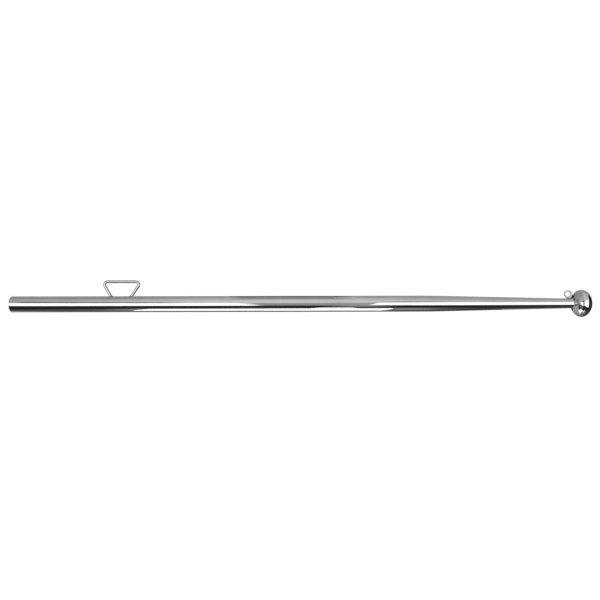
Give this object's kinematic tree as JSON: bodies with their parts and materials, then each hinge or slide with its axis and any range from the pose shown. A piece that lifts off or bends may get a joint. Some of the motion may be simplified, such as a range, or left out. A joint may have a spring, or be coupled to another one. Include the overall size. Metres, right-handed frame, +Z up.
{
  "type": "boat flagpole",
  "caption": "Short boat flagpole of polished steel tube, tapered to a flattened ball, with a welded bent-rod cleat near its foot and a wire eye under the ball for the flag line.",
  "frame": {"origin": "centre of the tube's square-cut foot, on the plane of its end face", "axes": "+Z up the pole to the ball; -X the side that the cleat and the eye are welded on; +Y across both fittings"},
  "size_m": [0.0585, 0.0424, 0.9],
  "materials": {
    "tube_polished": "polished",
    "ball_polished": "polished",
    "rod_polished": "polished",
    "weld": "satin"
  },
  "bodies": {
    "root": {"pole_tube": "tube_polished", "ball_finial": "ball_polished", "ball_weld": "weld", "halyard_eye": "rod_polished", "eye_weld": "weld", "halyard_cleat": "rod_polished", "cleat_lower_weld": "weld", "cleat_upper_weld": "weld"}
  },
  "joints": []
}
